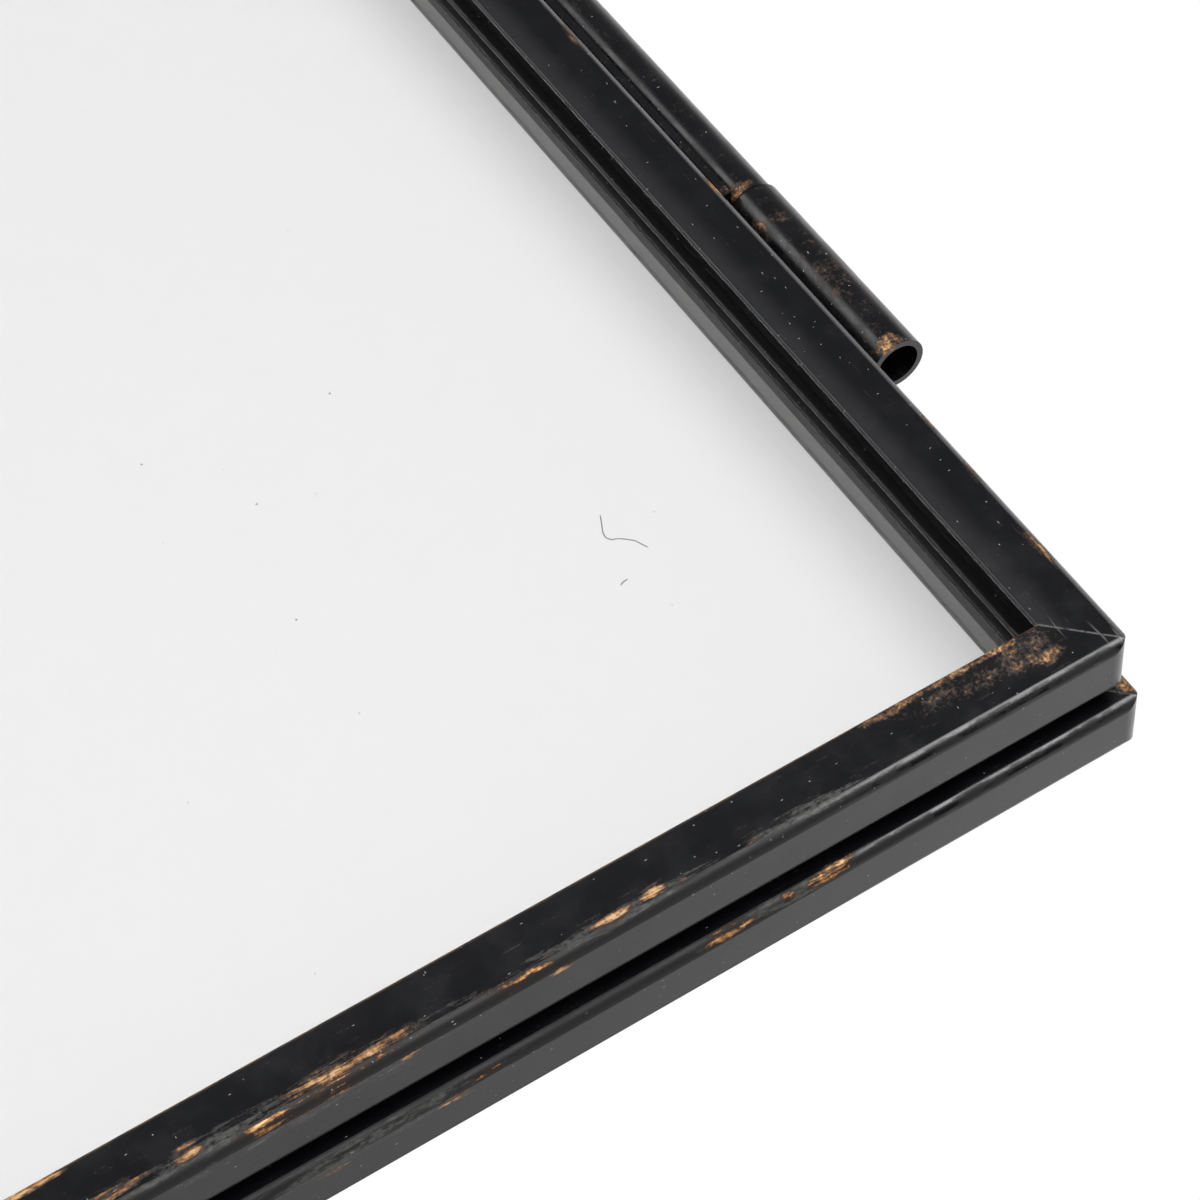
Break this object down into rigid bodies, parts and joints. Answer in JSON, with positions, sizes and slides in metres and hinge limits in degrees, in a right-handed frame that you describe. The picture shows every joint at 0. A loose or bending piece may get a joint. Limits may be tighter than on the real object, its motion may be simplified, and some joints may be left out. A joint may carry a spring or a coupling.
{
  "type": "hinged double-glass picture frame",
  "caption": "Hinged metal picture frame of two glass leaves in folded channel rails, with a rolled hinge, a swing hook and a hanging ring.",
  "frame": {"origin": "centre of the overall box on the surface that the frame lies on, glass horizontal", "axes": "+Z from the back to the face of the frame, +Y to the top of the picture where the ring hangs, +X to the hinge side"},
  "size_m": [0.1588, 0.2184, 0.0118],
  "materials": {
    "black_lacquer": "black satin-gloss lacquer over brass sheet, rubbed through at some edges",
    "rubbed_lacquer": "black satin-gloss lacquer, speckled and rubbed through to brass at the ends",
    "hinge_pin": "dull drawn wire",
    "clear_glass": "clear polished",
    "packing_strip": "matt dark grey strip",
    "pad_rubber": "matt black",
    "solder": "soft solder under black lacquer"
  },
  "bodies": {
    "rear_leaf": {"rear_rail_bottom": "black_lacquer", "rear_rail_right": "black_lacquer", "rear_rail_top": "black_lacquer", "rear_rail_left": "black_lacquer", "rear_corner_solder": "solder", "rear_pane": "clear_glass", "rear_packing": "packing_strip", "spacer_pads": "pad_rubber", "hinge_knuckle_lower": "rubbed_lacquer", "hinge_knuckle_upper": "rubbed_lacquer", "hinge_pin": "hinge_pin", "latch_pivot": "rubbed_lacquer", "latch_washer": "rubbed_lacquer", "hanger_eye": "rubbed_lacquer"},
    "front_leaf": {"front_rail_bottom": "black_lacquer", "front_rail_right": "black_lacquer", "front_rail_top": "black_lacquer", "front_rail_left": "black_lacquer", "front_corner_solder": "solder", "front_pane": "clear_glass", "front_packing": "packing_strip", "hinge_knuckle_middle": "rubbed_lacquer", "latch_stud": "rubbed_lacquer"},
    "latch": {"latch_hook": "rubbed_lacquer"},
    "ring": {"hanging_ring": "rubbed_lacquer"}
  },
  "joints": [
    {"name": "leaf_hinge", "type": "hinge", "parent": "rear_leaf", "child": "front_leaf", "pos_m": [0.07702, -0.00832, 0.0087], "axis": [0, 1, 0], "range_deg": [0, 180]},
    {"name": "latch_swing", "type": "hinge", "parent": "rear_leaf", "child": "latch", "pos_m": [-0.07716, -0.01432, 0.0026], "axis": [1, 0, 0], "range_deg": [0, 90]},
    {"name": "ring_swing", "type": "hinge", "parent": "rear_leaf", "child": "ring", "pos_m": [-0.00049, 0.09453, 0.0026], "axis": [1, 0, 0], "range_deg": [-80, 95]}
  ]
}
